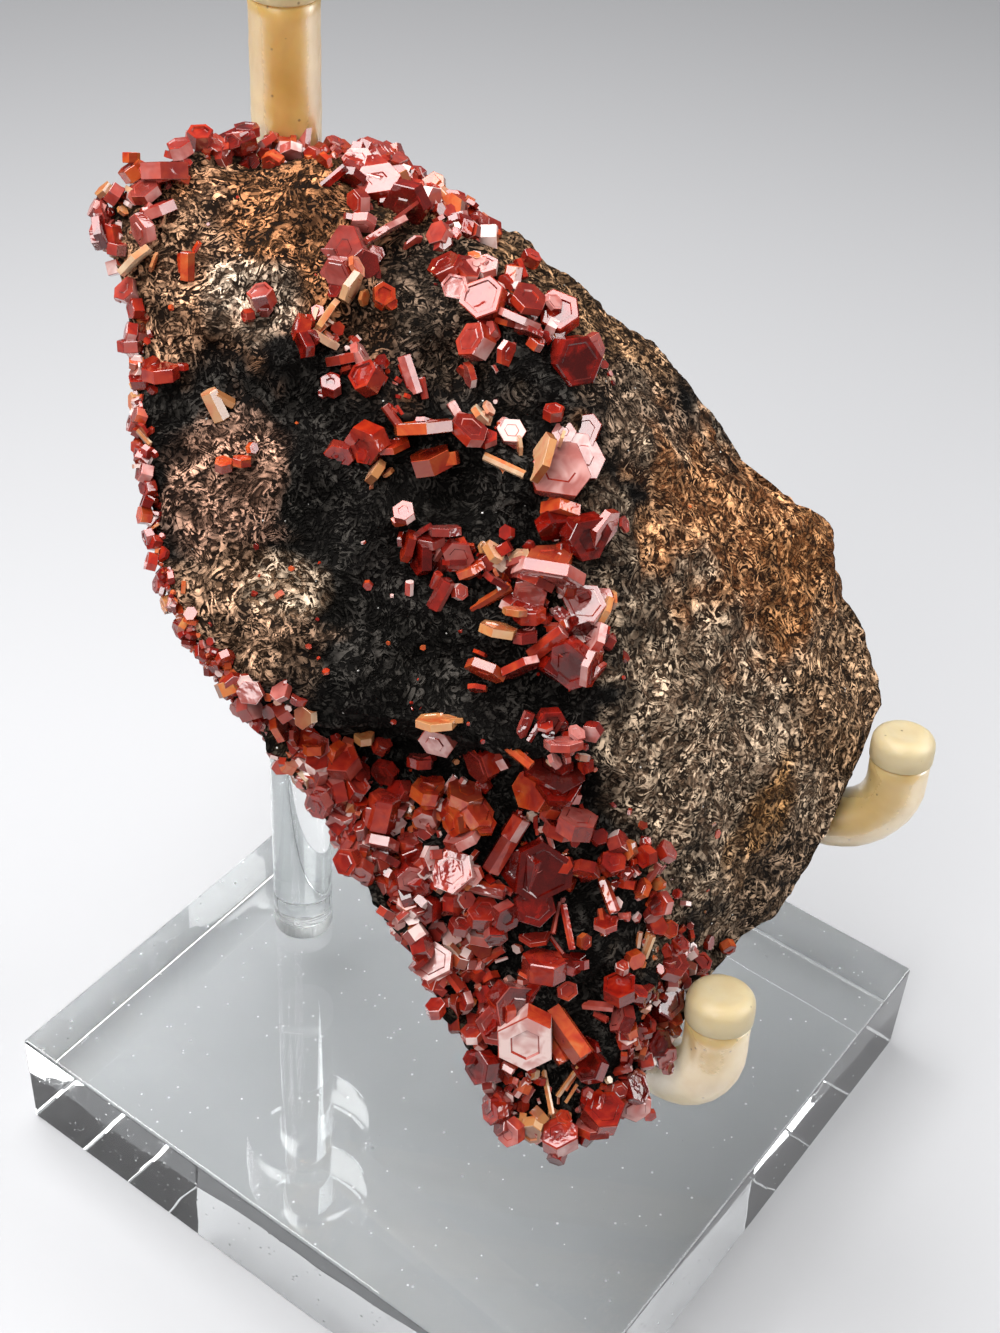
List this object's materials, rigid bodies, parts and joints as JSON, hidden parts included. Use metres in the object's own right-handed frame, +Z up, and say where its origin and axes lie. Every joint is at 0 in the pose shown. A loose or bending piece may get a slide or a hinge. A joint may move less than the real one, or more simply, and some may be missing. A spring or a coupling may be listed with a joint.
{
  "type": "vanadinite on matrix on a display stand",
  "caption": "Red vanadinite crystals on dark manganese matrix, leaning on a clear acrylic stand with a straight sleeved finger and two sleeved J hooks.",
  "frame": {"origin": "centre of the base's flat underside", "axes": "+Z up out of the base, -Y towards the stand's open front where the hooks are, +X to the right seen from that front"},
  "size_m": [0.1057, 0.1052, 0.181],
  "materials": {
    "clear_acrylic": "polished, clear",
    "brass_rod": "drawn, satin",
    "amber_rubber": "translucent, satin",
    "cream_rubber": "translucent, satin",
    "matrix_stone": "fine granular, black to rust brown",
    "vanadinite": "glossy flat crystal faces, deep red to orange brown"
  },
  "bodies": {
    "root": {"base_block": "clear_acrylic", "collar": "clear_acrylic", "crystals_face_1": "vanadinite", "crystals_face_2": "vanadinite", "crystals_face_3": "vanadinite", "crystals_face_4": "vanadinite", "crystals_face_5": "vanadinite", "crystals_face_6": "vanadinite", "crystals_ridge_1": "vanadinite", "crystals_ridge_2": "vanadinite", "crystals_rim_1": "vanadinite", "crystals_rim_2": "vanadinite", "crystals_rim_3": "vanadinite", "crystals_rim_4": "vanadinite", "crystals_rim_5": "vanadinite", "crystals_rim_6": "vanadinite", "crystals_rim_7": "vanadinite", "crystals_rim_8": "vanadinite", "crystals_rim_9": "vanadinite", "crystals_tip_1": "vanadinite", "crystals_tip_2": "vanadinite", "crystals_tip_3": "vanadinite", "crystals_tip_4": "vanadinite", "crystals_tip_5": "vanadinite", "crystals_tip_6": "vanadinite", "crystals_tip_7": "vanadinite", "crystals_tip_8": "vanadinite", "crystals_upper_1": "vanadinite", "crystals_upper_2": "vanadinite", "crystals_upper_3": "vanadinite", "crystals_upper_4": "vanadinite", "crystals_upper_5": "vanadinite", "crystals_wedge_1": "vanadinite", "crystals_wedge_10": "vanadinite", "crystals_wedge_11": "vanadinite", "crystals_wedge_12": "vanadinite", "crystals_wedge_13": "vanadinite", "crystals_wedge_14": "vanadinite", "crystals_wedge_2": "vanadinite", "crystals_wedge_3": "vanadinite", "crystals_wedge_4": "vanadinite", "crystals_wedge_5": "vanadinite", "crystals_wedge_6": "vanadinite", "crystals_wedge_7": "vanadinite", "crystals_wedge_8": "vanadinite", "crystals_wedge_9": "vanadinite", "finger_cap": "cream_rubber", "finger_rod": "brass_rod", "finger_sleeve": "amber_rubber", "left_hook_cap": "cream_rubber", "left_hook_rod": "brass_rod", "left_hook_sleeve": "amber_rubber", "matrix": "matrix_stone", "post": "clear_acrylic", "right_hook_cap": "cream_rubber", "right_hook_rod": "brass_rod", "right_hook_sleeve": "amber_rubber"}
  },
  "joints": []
}
